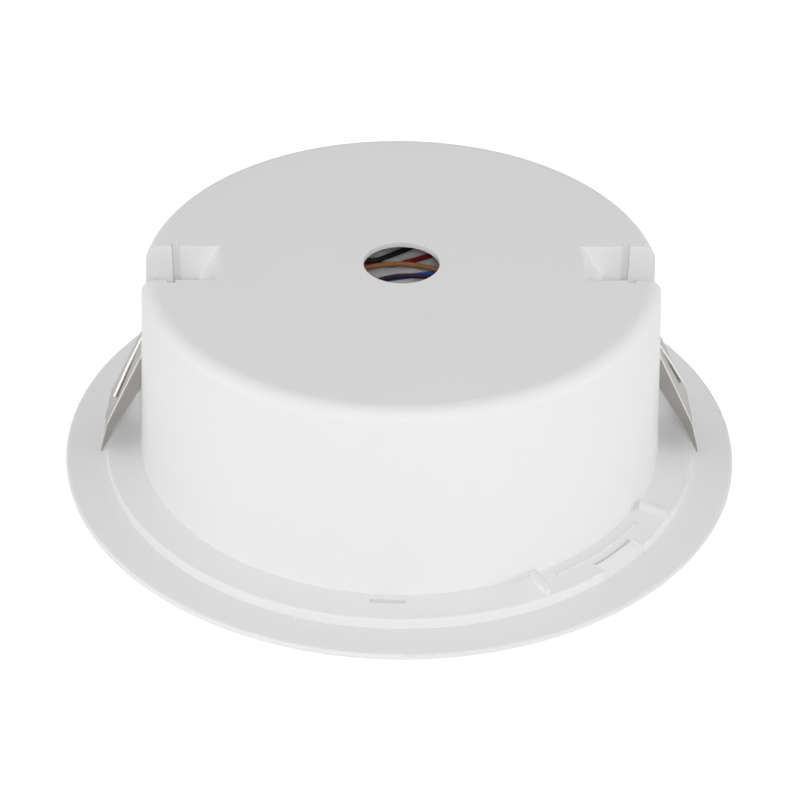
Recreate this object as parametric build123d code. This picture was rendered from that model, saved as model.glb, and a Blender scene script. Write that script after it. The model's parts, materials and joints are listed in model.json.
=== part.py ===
from build123d import *

import os
from math import cos, degrees, radians, sin, tan

# A round in-ceiling loudspeaker, standing face down on its front rim.
# Millimetres. The origin is the centre of the front rim's plane and +Z points
# into the ceiling. The two spring clips are at +X and -X.

# Back cover
COVER_FOOT_RADIUS = 77.5
COVER_DRAFT = 3.0
COVER_WALL = 2.2
COVER_TOP_WALL = 1.5
COVER_TOP_ROUND = 4.3
CABLE_HOLE_RADIUS = 11.0
SNAP_AZIMUTHS = (45.0, 135.0, 225.0, 315.0)
SNAP_WIDTH = 8.0
SNAP_HEIGHT = 1.4
SNAP_REACH = 1.0
SNAP_RISE = 1.8
SNAP_CLEARANCE = 0.4

# Front bezel
FLANGE_RADIUS = 100.0
FLANGE_EDGE_HEIGHT = 3.0
FLANGE_ROOT_HEIGHT = 2.0
RIM_LIFT = 1.3
RIM_BEVEL_WIDTH = 6.0
RIM_FRONT_ROUND = 0.5
RIM_BACK_ROUND = 0.9
COLLAR_WIDTH = 10.5
COLLAR_TOP = 5.2
COLLAR_EDGE_ROUND = 0.7
BAFFLE_THICKNESS = 2.0
LEDGE_WIDTH = 1.8
SPIGOT_HEIGHT = 4.0
SPIGOT_WALL = 2.0
SPIGOT_CLEARANCE = 0.5
BOSS_RADIUS = 3.4
BOSS_GAP = 0.2
SLOT_LENGTH = 9.7
SLOT_WIDTH = 1.4
SLOT_DEPTH = 1.0
SLOT_INSET = 2.5
SLOT_AZIMUTHS = (-93.1, 86.9)
RIB_LENGTH = 8.6
RIB_THICKNESS = 1.7
RIB_HEIGHT = 2.6
RIB_AZIMUTHS = (-62.8, -29.1)
RIDGE_INSET = 3.0
RIDGE_WIDTH = 0.8
RIDGE_HEIGHT = 0.5
RIDGE_AZIMUTH = -46.0
RIDGE_ARC = 24.0
GATE_AZIMUTH = -44.4
GATE_ARC = 11.0
GATE_DEPTH = 5.4
GATE_DROP = 0.8
GATE_OVERRUN = 0.5
GATE_STEP = 0.1
GATE_SLIT_WIDTH = 0.8
GATE_SLIT_DEPTH = 0.7

# Grille
GRILLE_INSET = 1.7
GRILLE_THICKNESS = 1.0
GRILLE_RECESS = 0.6
GRILLE_CLEARANCE = 0.2
GRILLE_SLOT_WIDTH = 4.0
GRILLE_SLOT_GAP = 5.0
GRILLE_FIRST_ROW = 14.0
GRILLE_ROW_PITCH = 8.5
GRILLE_ROW_COUNTS = (4, 6, 8, 8, 10, 10, 12, 12)

# Clip recess in the cover
RECESS_HALF_WIDTH = 9.2
RECESS_WALL = 2.0
RECESS_SIDE_WALL = 4.0
RECESS_DEPTH = 18.6
RECESS_RAMP_RUN = 6.3
RECESS_RAMP_DROP = 10.1
RECESS_FLOOR_START = 38.0
RECESS_FLOOR_SLOPE = 0.85
RECESS_LIP_ROUND = 1.5

# Spring clip
PIN_RADIUS = 1.25
PIN_INSET = 12.1
PIN_Z = 48.0
PIN_CLEARANCE = 0.05
PIN_END_PLAY = 0.2
GROOVE_WIDTH = 2.2
GROOVE_DEPTH = 1.5
ARM_SIDE_GAP = 0.5
ARM_SHEET = 0.8
ARM_STANDOFF = 5.0
ARM_SLOPE = 65.0
ARM_WEB_START = 8.0
ARM_BEND_AT = 40.0
ARM_TIP_BEND = 11.0
ARM_TIP_LENGTH = 10.3
ARM_WEB_TIP = 4.0
ARM_EAR_RADIUS = 3.4
ARM_SHOULDER_AT = 14.0
ARM_SHOULDER_DEPTH = 5.3
ARM_SHOULDER_ROUND = 20.0
ARM_LIP_DEPTH = 3.0
ARM_LIP_ROUND = 8.0
ARM_EAR_ROUND = 3.0
ARM_PRONG_DEPTH = 0.7
SPRING_WIRE = 1.0
SPRING_TURNS = 12
SPRING_PIN_GAP = 0.25
SPRING_LEG_START = 6.0
SPRING_LEG_END = 33.0
SPRING_LEG_FAR = 4.0
SPRING_LEG_GAP = 0.06
SPRING_FLOOR_GAP = 2.0

# Loudspeaker driver
DRIVER_RIM_CLEARANCE = 6.8
DRIVER_RIM_WIDTH = 9.0
DRIVER_RIM_THICKNESS = 1.2
DRIVER_OPENING_GAP = 0.5
GASKET_THICKNESS = 0.8
GASKET_WIDTH = 7.0
BASKET_CONE_WIDTH = 21.0
BASKET_SHEET = 1.2
BASKET_DEPTH = 24.0
SPIDER_LEDGE_WIDTH = 6.0
BASKET_BACK_DEPTH = 32.0
BASKET_BACK_HOLE = 15.0
BASKET_WINDOW_WIDTH = 40.0
BASKET_WINDOW_MARGIN = 4.5
DRIVER_SCREW_INSET = 4.0
DRIVER_SCREW_AZIMUTHS = (45.0, 135.0, 225.0, 315.0)
DRIVER_SCREW_RADIUS = 1.6
SCREW_CLEARANCE = 0.3
PILOT_CLEARANCE = 0.1
SCREW_HEAD_RADIUS = 3.2
SCREW_HEAD_HEIGHT = 1.6
SURROUND_ROLL_RADIUS = 2.6
SURROUND_SHEET = 0.6
SURROUND_RIM_OVERLAP = 1.8
SURROUND_OUTER_FLAT = 5.2
SURROUND_INNER_FLAT = 5.6
CONE_SHEET = 1.0
CONE_RIM_WIDTH = 2.4
CONE_DEPTH = 21.0
COIL_FORMER_RADIUS = 12.9
COIL_FORMER_WALL = 0.4
COIL_FORMER_LENGTH = 19.0
COIL_REACH = 3.0
COIL_WINDING_THICKNESS = 0.6
COIL_WINDING_HEIGHT = 7.5
GLUE_GAP = 0.1
DUST_CAP_RADIUS = 15.0
DUST_CAP_RISE = 5.5
DUST_CAP_SHEET = 0.6
SPIDER_SHEET = 0.6
SPIDER_WAVE = 1.2
SPIDER_WAVES = 4
TOP_PLATE_RADIUS = 32.0
TOP_PLATE_THICKNESS = 4.0
MAGNET_GAP = 0.6
MAGNET_RADIUS = 35.0
MAGNET_INNER_RADIUS = 17.0
MAGNET_THICKNESS = 8.0
BACK_PLATE_RADIUS = 33.0
BACK_PLATE_THICKNESS = 4.0
POLE_RADIUS = 12.0
TAG_BOARD_SIZE = (14.0, 9.0, 1.6)
TAG_SIZE = (3.0, 11.0, 0.6)
TAG_SPACING = 8.0
TINSEL_RADIUS = 0.5

# Line transformer, its strap and the terminal block
STRAP_AZIMUTH = 135.0
STRAP_SHEET = 1.0
STRAP_WIDTH = 24.0
STRAP_SCREW_SPACING = 40.0
STRAP_SCREW_RADIUS = 1.5
STRAP_SCREW_DEPTH = 3.0
STRAP_STEP_GAP = 0.4
STRAP_STEP_DROP = 12.0
STRAP_BLOCK_MARGIN = 1.0
CORE_RADIUS = 49.5
CORE_WIDTH = 28.0
CORE_STACK = 14.0
CORE_HEIGHT = 20.0
CORE_LEG = 9.0
CORE_WINDOW_WIDTH = 5.0
CORE_WINDOW_HEIGHT = 12.0
CORE_TAB_HEIGHT = 12.0
BOBBIN_WALL = 0.8
BOBBIN_GAP = 0.1
BOBBIN_FLANGE = 1.0
BOBBIN_REACH = 11.0
WINDING_THICKNESS = 3.4
LEAD_WINDOW_LENGTH = 13.0
LEAD_WINDOW_WIDTH = 3.2
BLOCK_RADIUS = 52.0
BLOCK_WIDTH = 22.0
BLOCK_DEPTH = 16.0
BLOCK_HEIGHT = 12.0
BLOCK_POLES = 5
BLOCK_POLE_PITCH = 4.2
BLOCK_SCREW_RADIUS = 1.5
BLOCK_SCREW_LENGTH = 4.0
BLOCK_ENTRY_RADIUS = 1.0
BLOCK_ENTRY_DEPTH = 4.0
BLOCK_ENTRY_DROP = 3.5

# Internal leads
LEAD_RADIUS = 0.75
LEAD_GAP = 0.2
LEAD_SPACING = 2.2
LEAD_STRAIGHT = 2.5
LEAD_ROOM = 3.1

# Length by which a cutting tool runs past the wall it cuts
OVERCUT = 1.0

# Radii that follow from the sizes above
COVER_TOP_RADIUS = COVER_FOOT_RADIUS - COVER_DRAFT
COLLAR_RADIUS = COVER_FOOT_RADIUS + COLLAR_WIDTH
GRILLE_RADIUS = COLLAR_RADIUS - GRILLE_INSET
SLOT_RADIUS = COVER_FOOT_RADIUS + SLOT_INSET
RIDGE_RADIUS = COVER_FOOT_RADIUS + RIDGE_INSET
GATE_INNER_RADIUS = COLLAR_RADIUS - GATE_DEPTH
RECESS_INNER = COVER_FOOT_RADIUS - RECESS_DEPTH
RECESS_MOUTH = RECESS_INNER - RECESS_RAMP_RUN
PIN_X = COVER_FOOT_RADIUS - PIN_INSET
PIN_HOLE_RADIUS = PIN_RADIUS + PIN_CLEARANCE
ARM_WIDTH = 2 * (RECESS_HALF_WIDTH - ARM_SIDE_GAP)
SPIGOT_RADIUS = COVER_FOOT_RADIUS - COVER_WALL - SPIGOT_CLEARANCE
DRIVER_RIM_RADIUS = SPIGOT_RADIUS - SPIGOT_WALL - DRIVER_RIM_CLEARANCE
BASKET_MOUTH_RADIUS = DRIVER_RIM_RADIUS - DRIVER_RIM_WIDTH
DRIVER_OPENING_RADIUS = BASKET_MOUTH_RADIUS + DRIVER_OPENING_GAP
GASKET_INNER_RADIUS = DRIVER_RIM_RADIUS - GASKET_WIDTH
BASKET_NECK_RADIUS = BASKET_MOUTH_RADIUS - BASKET_CONE_WIDTH
SPIDER_LEDGE_RADIUS = BASKET_NECK_RADIUS - SPIDER_LEDGE_WIDTH
DRIVER_SCREW_CIRCLE = DRIVER_RIM_RADIUS - DRIVER_SCREW_INSET
SURROUND_OUTER_RADIUS = BASKET_MOUTH_RADIUS + SURROUND_RIM_OVERLAP
SURROUND_ROLL_CENTRE = SURROUND_OUTER_RADIUS - SURROUND_OUTER_FLAT
SURROUND_INNER_RADIUS = SURROUND_ROLL_CENTRE - SURROUND_INNER_FLAT
TOP_PLATE_HOLE = COIL_FORMER_RADIUS + GLUE_GAP + COIL_WINDING_THICKNESS + MAGNET_GAP
STRAP_STEP_RADIUS = MAGNET_RADIUS + STRAP_STEP_GAP
STRAP_BLOCK_END = BLOCK_RADIUS + BLOCK_DEPTH / 2 + STRAP_BLOCK_MARGIN

# Heights that follow from the sizes above
BAFFLE_BACK = COLLAR_TOP
BAFFLE_FRONT = COLLAR_TOP - BAFFLE_THICKNESS
GRILLE_FRONT = GRILLE_RECESS
GRILLE_BACK = GRILLE_FRONT + GRILLE_THICKNESS
RIM_FRONT = BAFFLE_BACK + GASKET_THICKNESS
RIM_BACK = RIM_FRONT + DRIVER_RIM_THICKNESS
LEDGE_HEIGHT = RIM_FRONT + BASKET_DEPTH
TOP_PLATE_FRONT = RIM_FRONT + BASKET_BACK_DEPTH
MAGNET_FRONT = TOP_PLATE_FRONT + TOP_PLATE_THICKNESS
BACK_PLATE_FRONT = MAGNET_FRONT + MAGNET_THICKNESS
STRAP_FRONT = BACK_PLATE_FRONT + BACK_PLATE_THICKNESS
STRAP_BACK = STRAP_FRONT + STRAP_SHEET
COIL_FORMER_TOP = MAGNET_FRONT + COIL_REACH
COIL_FORMER_BOTTOM = COIL_FORMER_TOP - COIL_FORMER_LENGTH
BLOCK_BOTTOM = STRAP_BACK - STRAP_STEP_DROP
BLOCK_TOP = BLOCK_BOTTOM + BLOCK_HEIGHT
CORE_BOTTOM = STRAP_FRONT - CORE_HEIGHT
LEAD_LOW = STRAP_BACK + SCREW_HEAD_HEIGHT + LEAD_GAP + LEAD_RADIUS
LEAD_HIGH = LEAD_LOW + 2 * LEAD_RADIUS + LEAD_GAP
COVER_INSIDE_TOP = LEAD_HIGH + LEAD_RADIUS + LEAD_ROOM
COVER_TOP = COVER_INSIDE_TOP + COVER_TOP_WALL
COVER_TAPER = COVER_DRAFT / (COVER_TOP - COLLAR_TOP)
RECESS_RAMP_FOOT = COVER_TOP - RECESS_RAMP_DROP


def turned(points):
    """Solid of revolution about Z from (radius, height, corner round) points."""
    corners = [(radius, 0, height) for radius, height, _ in points]
    rounds = [corner for _, _, corner in points]
    outline = FilletPolyline(*corners, radius=rounds, close=True)
    return revolve(make_face(outline), Axis.Z)


def sharp(points):
    """Solid of revolution about Z from (radius, height) points with square corners."""
    outline = Polyline(*[(radius, 0, height) for radius, height in points], close=True)
    return revolve(make_face(outline), Axis.Z)


def sector(inner, outer, low, high, azimuth, arc):
    """Part of a ring, centred on an azimuth in degrees."""
    corners = [(inner, 0, low), (outer, 0, low), (outer, 0, high), (inner, 0, high)]
    face = make_face(Polyline(*corners, close=True))
    return Rot(0, 0, azimuth - arc / 2) * revolve(face, Axis.Z, revolution_arc=arc)


def upright(radius, low, high):
    """Cylinder on the Z axis between two heights."""
    return Pos(0, 0, (low + high) / 2) * Cylinder(radius, high - low)


def block(size_x, size_y, low, high):
    """Box centred on the Z axis between two heights."""
    return Pos(0, 0, (low + high) / 2) * Box(size_x, size_y, high - low)


def at(azimuth, radius):
    """Place on a circle about Z, with local X pointing outwards."""
    return Rot(0, 0, azimuth) * Pos(radius, 0, 0)


def tube(points, rounds, radius):
    """Round wire along straight runs joined by tangent arcs."""
    path = FilletPolyline(*points, radius=rounds)
    section = Plane(origin=path @ 0, z_dir=path % 0) * Circle(radius)
    return sweep(section, path=path)


def front_bezel():
    """Flange, collar and baffle, moulded as one ring."""
    recess = GRILLE_RADIUS + GRILLE_CLEARANCE
    ledge = recess - LEDGE_WIDTH
    spigot_top = BAFFLE_BACK + SPIGOT_HEIGHT
    ring = turned(
        [
            (DRIVER_OPENING_RADIUS, BAFFLE_FRONT, 0),
            (ledge, BAFFLE_FRONT, 0),
            (ledge, GRILLE_BACK, 0),
            (recess, GRILLE_BACK, 0),
            (recess, 0, 0),
            (FLANGE_RADIUS - RIM_BEVEL_WIDTH, 0, RIM_BEVEL_WIDTH),
            (FLANGE_RADIUS, RIM_LIFT, RIM_FRONT_ROUND),
            (FLANGE_RADIUS, FLANGE_EDGE_HEIGHT, RIM_BACK_ROUND),
            (COLLAR_RADIUS, FLANGE_ROOT_HEIGHT, 0),
            (COLLAR_RADIUS, COLLAR_TOP, COLLAR_EDGE_ROUND),
            (SPIGOT_RADIUS, COLLAR_TOP, 0),
            (SPIGOT_RADIUS, spigot_top, 0),
            (SPIGOT_RADIUS - SPIGOT_WALL, spigot_top, 0),
            (SPIGOT_RADIUS - SPIGOT_WALL, COLLAR_TOP, 0),
            (DRIVER_OPENING_RADIUS, COLLAR_TOP, 0),
        ]
    )
    above = COLLAR_TOP + OVERCUT
    below = COLLAR_TOP - BAFFLE_THICKNESS / 2
    rib_centre = COLLAR_RADIUS - COLLAR_EDGE_ROUND - RIB_LENGTH / 2
    for azimuth in RIB_AZIMUTHS:
        ring += at(azimuth, rib_centre) * block(RIB_LENGTH, RIB_THICKNESS, below, COLLAR_TOP + RIB_HEIGHT)
    ridge_outer = RIDGE_RADIUS + RIDGE_WIDTH
    ring += sector(RIDGE_RADIUS, ridge_outer, below, COLLAR_TOP + RIDGE_HEIGHT, RIDGE_AZIMUTH, RIDGE_ARC)
    for azimuth in SLOT_AZIMUTHS:
        ring -= at(azimuth, SLOT_RADIUS) * block(SLOT_WIDTH, SLOT_LENGTH, COLLAR_TOP - SLOT_DEPTH, above)
    ring -= gate()
    for azimuth in DRIVER_SCREW_AZIMUTHS:
        boss_bottom = GRILLE_BACK + BOSS_GAP
        boss = upright(BOSS_RADIUS, boss_bottom, BAFFLE_BACK)
        pilot = upright(DRIVER_SCREW_RADIUS + PILOT_CLEARANCE, boss_bottom + BAFFLE_THICKNESS / 2, above)
        ring += at(azimuth, DRIVER_SCREW_CIRCLE) * boss
        ring -= at(azimuth, DRIVER_SCREW_CIRCLE) * pilot
    window_low = BAFFLE_BACK + SNAP_RISE - SNAP_CLEARANCE
    window_high = window_low + SNAP_HEIGHT + 2 * SNAP_CLEARANCE
    window = block(3 * SPIGOT_WALL, SNAP_WIDTH + 2 * SNAP_CLEARANCE, window_low, window_high)
    for azimuth in SNAP_AZIMUTHS:
        ring -= at(azimuth, SPIGOT_RADIUS) * window
    return ring


def gate():
    """Cut for the moulding gate in the collar: its floor slopes to the flange, with a slit behind."""
    high = COLLAR_TOP + OVERCUT
    floor = COLLAR_TOP - GATE_DROP
    slit_outer = GATE_INNER_RADIUS + GATE_SLIT_WIDTH
    corners = [
        (GATE_INNER_RADIUS, 0, high),
        (GATE_INNER_RADIUS, 0, floor - GATE_SLIT_DEPTH),
        (slit_outer, 0, floor - GATE_SLIT_DEPTH),
        (slit_outer, 0, floor),
        (COLLAR_RADIUS + GATE_OVERRUN, 0, FLANGE_ROOT_HEIGHT + GATE_STEP),
        (COLLAR_RADIUS + GATE_OVERRUN, 0, high),
    ]
    cut = revolve(make_face(Polyline(*corners, close=True)), Axis.Z, revolution_arc=GATE_ARC)
    return Rot(0, 0, GATE_AZIMUTH - GATE_ARC / 2) * cut


def grille():
    """Flat sheet disc with rings of curved slots."""
    disc = upright(GRILLE_RADIUS, GRILLE_FRONT, GRILLE_BACK)
    for row, count in enumerate(GRILLE_ROW_COUNTS):
        radius = GRILLE_FIRST_ROW + row * GRILLE_ROW_PITCH
        inner = radius - GRILLE_SLOT_WIDTH / 2
        outer = radius + GRILLE_SLOT_WIDTH / 2
        bridge = degrees(GRILLE_SLOT_GAP / radius)
        for index in range(count):
            azimuth = (index + 0.5 * (row % 2)) * 360 / count
            arc = 360 / count - bridge
            disc -= sector(inner, outer, GRILLE_FRONT - OVERCUT, GRILLE_BACK + OVERCUT, azimuth, arc)
    return disc


def recess_outline(margin):
    """Side view of a clip recess in X and Z, grown inwards by a margin."""
    inner = RECESS_INNER - margin
    mouth = RECESS_MOUTH - margin
    far = COLLAR_RADIUS
    floor_drop = margin * (1 + RECESS_FLOOR_SLOPE)
    floor_start = RECESS_FLOOR_START - floor_drop
    floor_end = floor_start - RECESS_FLOOR_SLOPE * (far - inner)
    high = COVER_TOP + 2 * COVER_WALL
    run = RECESS_RAMP_RUN / RECESS_RAMP_DROP
    return [
        (inner, floor_start),
        (far, floor_end),
        (far, high),
        (mouth - run * (high - COVER_TOP), high),
        (inner, RECESS_RAMP_FOOT),
    ]


def recess_prism(margin, half_width):
    """Recess outline drawn out to both sides of the XZ plane."""
    corners = [(x, 0, z) for x, z in recess_outline(margin)]
    return extrude(make_face(Polyline(*corners, close=True)), half_width, both=True, dir=(0, 1, 0))


def back_cover():
    """Drafted can with a rounded top edge, a cable hole and two clip recesses."""
    outside = turned(
        [
            (0, COLLAR_TOP, 0),
            (COVER_FOOT_RADIUS, COLLAR_TOP, 0),
            (COVER_TOP_RADIUS, COVER_TOP, COVER_TOP_ROUND),
            (0, COVER_TOP, 0),
        ]
    )
    inside_top_radius = COVER_TOP_RADIUS - COVER_WALL + COVER_TAPER * COVER_TOP_WALL
    inside = turned(
        [
            (0, COLLAR_TOP, 0),
            (COVER_FOOT_RADIUS - COVER_WALL, COLLAR_TOP, 0),
            (inside_top_radius, COVER_INSIDE_TOP, COVER_TOP_ROUND - COVER_WALL),
            (0, COVER_INSIDE_TOP, 0),
        ]
    )
    walls = recess_prism(RECESS_WALL, RECESS_HALF_WIDTH + RECESS_SIDE_WALL)
    hollow = recess_prism(0, RECESS_HALF_WIDTH)
    groove_reach = 2 * (RECESS_HALF_WIDTH + GROOVE_DEPTH)
    seat = Pos(PIN_X, 0, PIN_Z) * Rot(90, 0, 0) * Cylinder(PIN_HOLE_RADIUS, groove_reach)
    groove = Pos(PIN_X, 0, 0) * block(GROOVE_WIDTH, groove_reach, PIN_Z, COVER_TOP + OVERCUT)
    for turn in (0, 180):
        inside -= Rot(0, 0, turn) * walls
    can = outside - inside
    for turn in (0, 180):
        can -= Rot(0, 0, turn) * hollow
        can -= Rot(0, 0, turn) * seat
        can -= Rot(0, 0, turn) * groove
    mouth = [e for e in can.edges() if is_mouth(e)]
    can = fillet(mouth, RECESS_LIP_ROUND)
    can -= upright(CABLE_HOLE_RADIUS, COVER_INSIDE_TOP - OVERCUT, COVER_TOP + OVERCUT)
    snap_low = COLLAR_TOP + SNAP_RISE
    snap_radius = COVER_FOOT_RADIUS - COVER_WALL
    snap = block(2 * SNAP_REACH, SNAP_WIDTH, snap_low, snap_low + SNAP_HEIGHT)
    for azimuth in SNAP_AZIMUTHS:
        can += at(azimuth, snap_radius) * snap
    return can


def is_mouth(edge):
    """True for the straight inner edge of a recess in the cover's top face."""
    middle = edge.center()
    on_top = abs(middle.Z - COVER_TOP) < 0.01
    return on_top and abs(abs(middle.X) - RECESS_MOUTH) < 0.01 and abs(middle.Y) < 0.01


def arm_plane():
    """Plane of the clip's side view: X runs down the arm, Y points in from its web."""
    slope = radians(ARM_SLOPE)
    origin = (PIN_X + ARM_STANDOFF * sin(slope), 0, PIN_Z + ARM_STANDOFF * cos(slope))
    return Plane(origin=origin, x_dir=(cos(slope), 0, -sin(slope)), z_dir=(0, 1, 0))


def clip_arm():
    """Folded channel of sheet steel with pin ears, whose lips end in two prongs past a turned-in web."""
    bend = radians(ARM_TIP_BEND)
    along = Vector(cos(bend), sin(bend))
    inwards = Vector(-sin(bend), cos(bend))
    corner = Vector(ARM_BEND_AT, 0)
    tip = corner + along * ARM_TIP_LENGTH
    ear_low = ARM_STANDOFF + ARM_EAR_RADIUS
    ear_high = ARM_STANDOFF - ARM_EAR_RADIUS
    side_outline = FilletPolyline(
        (ARM_WEB_START, 0),
        corner,
        tip,
        tip + inwards * ARM_PRONG_DEPTH,
        (ARM_BEND_AT, ARM_LIP_DEPTH),
        (ARM_SHOULDER_AT, ARM_SHOULDER_DEPTH),
        (ARM_EAR_RADIUS / 3, ear_low),
        (-ARM_EAR_RADIUS, ear_low),
        (-ARM_EAR_RADIUS, ear_high),
        radius=[
            0,
            0,
            0,
            0,
            ARM_LIP_ROUND,
            ARM_SHOULDER_ROUND,
            ARM_EAR_ROUND,
            0.9 * ARM_EAR_RADIUS,
            0.8 * ARM_EAR_RADIUS,
        ],
        close=True,
    )
    inner_corner = Vector(ARM_BEND_AT - ARM_SHEET * tan(bend / 2), ARM_SHEET)
    web_end = inner_corner + along * ARM_WEB_TIP
    past_tip = ARM_BEND_AT + 2 * ARM_TIP_LENGTH
    hollow_outline = Polyline(
        (-2 * ARM_EAR_RADIUS, -ARM_SHEET),
        (ARM_WEB_START, -ARM_SHEET),
        (ARM_WEB_START, ARM_SHEET),
        inner_corner,
        web_end,
        web_end - inwards * 2 * ARM_SHEET,
        (past_tip, 0),
        (past_tip, 2 * ear_low),
        (-2 * ARM_EAR_RADIUS, 2 * ear_low),
        close=True,
    )
    side = arm_plane() * make_face(side_outline)
    hollow = arm_plane() * make_face(hollow_outline)
    arm = extrude(side, ARM_WIDTH / 2, both=True)
    arm -= extrude(hollow, ARM_WIDTH / 2 - ARM_SHEET, both=True)
    arm -= Pos(PIN_X, 0, PIN_Z) * Rot(90, 0, 0) * Cylinder(PIN_HOLE_RADIUS, 2 * ARM_WIDTH)
    return arm


def clip_pin():
    """Hinge pin, snapped into the grooves of a recess."""
    length = 2 * (RECESS_HALF_WIDTH + GROOVE_DEPTH - PIN_END_PLAY)
    return Pos(PIN_X, 0, PIN_Z) * Rot(90, 0, 0) * Cylinder(PIN_RADIUS, length)


def clip_spring():
    """Torsion spring, its close-wound coil as one sleeve, with a leg on the arm and one on the wall."""
    bore = PIN_RADIUS + SPRING_PIN_GAP
    middle = bore + SPRING_WIRE / 2 - SPRING_LEG_GAP / 2
    half = SPRING_TURNS * SPRING_WIRE / 2
    sleeve = flat_ring(bore + SPRING_WIRE, bore - SPRING_LEG_GAP, -half, half)
    coil = Pos(PIN_X, 0, PIN_Z) * Rot(90, 0, 0) * sleeve
    leg_y = half - SPRING_WIRE
    outside = -(SPRING_WIRE / 2 + SPRING_LEG_GAP)
    plane = arm_plane()
    arm_points = [
        plane.from_local_coords((0, ARM_STANDOFF - middle, -leg_y)),
        plane.from_local_coords((SPRING_LEG_START, outside, -leg_y)),
        plane.from_local_coords((SPRING_LEG_END, outside, SPRING_LEG_FAR)),
    ]
    arm_leg = tube(arm_points, [SPRING_WIRE], SPRING_WIRE / 2)
    wall_x = RECESS_INNER + SPRING_WIRE / 2 + SPRING_LEG_GAP
    wall_points = [(PIN_X - middle, leg_y, PIN_Z), (wall_x, leg_y, RECESS_FLOOR_START + SPRING_FLOOR_GAP)]
    path = Line(*wall_points)
    wall_leg = sweep(Plane(origin=path @ 0, z_dir=path % 0) * Circle(SPRING_WIRE / 2), path=path)
    return coil + arm_leg + wall_leg


def gasket():
    """Foam ring between the driver's rim and the baffle."""
    ring = upright(DRIVER_RIM_RADIUS, BAFFLE_BACK, RIM_FRONT)
    ring -= upright(GASKET_INNER_RADIUS, BAFFLE_BACK - OVERCUT, RIM_FRONT + OVERCUT)
    for azimuth in DRIVER_SCREW_AZIMUTHS:
        hole = upright(DRIVER_SCREW_RADIUS + SCREW_CLEARANCE, BAFFLE_BACK - OVERCUT, RIM_FRONT + OVERCUT)
        ring -= at(azimuth, DRIVER_SCREW_CIRCLE) * hole
    return ring


def basket_side():
    """Radial thickness of the basket's sloping wall."""
    return 0.55 * BASKET_SHEET


def basket():
    """Pressed driver frame: rim, windowed cone, spider ledge and magnet seat."""
    side = basket_side()
    frame = sharp(
        [
            (BASKET_MOUTH_RADIUS, RIM_FRONT),
            (BASKET_NECK_RADIUS, LEDGE_HEIGHT),
            (SPIDER_LEDGE_RADIUS, LEDGE_HEIGHT),
            (SPIDER_LEDGE_RADIUS, TOP_PLATE_FRONT - BASKET_SHEET),
            (BASKET_BACK_HOLE, TOP_PLATE_FRONT - BASKET_SHEET),
            (BASKET_BACK_HOLE, TOP_PLATE_FRONT),
            (SPIDER_LEDGE_RADIUS + BASKET_SHEET, TOP_PLATE_FRONT),
            (SPIDER_LEDGE_RADIUS + BASKET_SHEET, LEDGE_HEIGHT + BASKET_SHEET),
            (BASKET_NECK_RADIUS + side, LEDGE_HEIGHT + BASKET_SHEET),
            (BASKET_MOUTH_RADIUS + side, RIM_BACK),
            (DRIVER_RIM_RADIUS, RIM_BACK),
            (DRIVER_RIM_RADIUS, RIM_FRONT),
        ]
    )
    window_low = RIM_BACK + BASKET_WINDOW_MARGIN
    window_high = LEDGE_HEIGHT - BASKET_WINDOW_MARGIN
    window_depth = BASKET_MOUTH_RADIUS
    for azimuth in DRIVER_SCREW_AZIMUTHS:
        window = block(window_depth, BASKET_WINDOW_WIDTH, window_low, window_high)
        frame -= at(azimuth, window_depth / 2 + BASKET_BACK_HOLE) * window
        hole = upright(DRIVER_SCREW_RADIUS + SCREW_CLEARANCE, RIM_FRONT - OVERCUT, RIM_BACK + OVERCUT)
        frame -= at(azimuth, DRIVER_SCREW_CIRCLE) * hole
    return frame


def surround():
    """Rolled rubber edge between the basket's rim and the cone."""
    outer = SURROUND_ROLL_RADIUS + SURROUND_SHEET / 2
    inner = SURROUND_ROLL_RADIUS - SURROUND_SHEET / 2
    roll = Pos(SURROUND_ROLL_CENTRE, RIM_FRONT) * (Circle(outer) - Circle(inner))
    roll -= Pos(SURROUND_ROLL_CENTRE, RIM_FRONT + outer) * Rectangle(4 * outer, 2 * outer)
    flats = (
        (SURROUND_INNER_RADIUS, SURROUND_ROLL_CENTRE - inner),
        (SURROUND_ROLL_CENTRE + inner, SURROUND_OUTER_RADIUS),
    )
    for low, high in flats:
        roll += Pos((low + high) / 2, RIM_FRONT - SURROUND_SHEET / 2) * Rectangle(high - low, SURROUND_SHEET)
    return revolve(Plane.XZ * roll, Axis.Z)


def cone_hole():
    """Radius of the cone's neck, glued round the coil former."""
    return COIL_FORMER_RADIUS + GLUE_GAP


def cone():
    """Paper cone with a flat rim on the surround."""
    rim = SURROUND_INNER_RADIUS + CONE_RIM_WIDTH
    neck = RIM_FRONT + CONE_DEPTH
    return sharp(
        [
            (rim, RIM_FRONT),
            (rim, RIM_FRONT + CONE_SHEET),
            (SURROUND_INNER_RADIUS + CONE_SHEET / 2, RIM_FRONT + CONE_SHEET),
            (cone_hole(), neck + CONE_SHEET),
            (cone_hole(), neck),
            (SURROUND_INNER_RADIUS - CONE_SHEET, RIM_FRONT),
        ]
    )


def dust_cap():
    """Domed cap over the coil, facing the grille."""
    ball = (DUST_CAP_RADIUS**2 + DUST_CAP_RISE**2) / (2 * DUST_CAP_RISE)
    slope = CONE_DEPTH / (SURROUND_INNER_RADIUS - CONE_SHEET - cone_hole())
    edge = RIM_FRONT + CONE_DEPTH - slope * (DUST_CAP_RADIUS - cone_hole()) - 3 * GLUE_GAP
    centre = edge - DUST_CAP_RISE + ball
    shell = Sphere(ball) - Sphere(ball - DUST_CAP_SHEET)
    keep = block(4 * DUST_CAP_RADIUS, 4 * DUST_CAP_RADIUS, edge - 2 * DUST_CAP_RISE, edge)
    return (Pos(0, 0, centre) * shell) & keep


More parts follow.
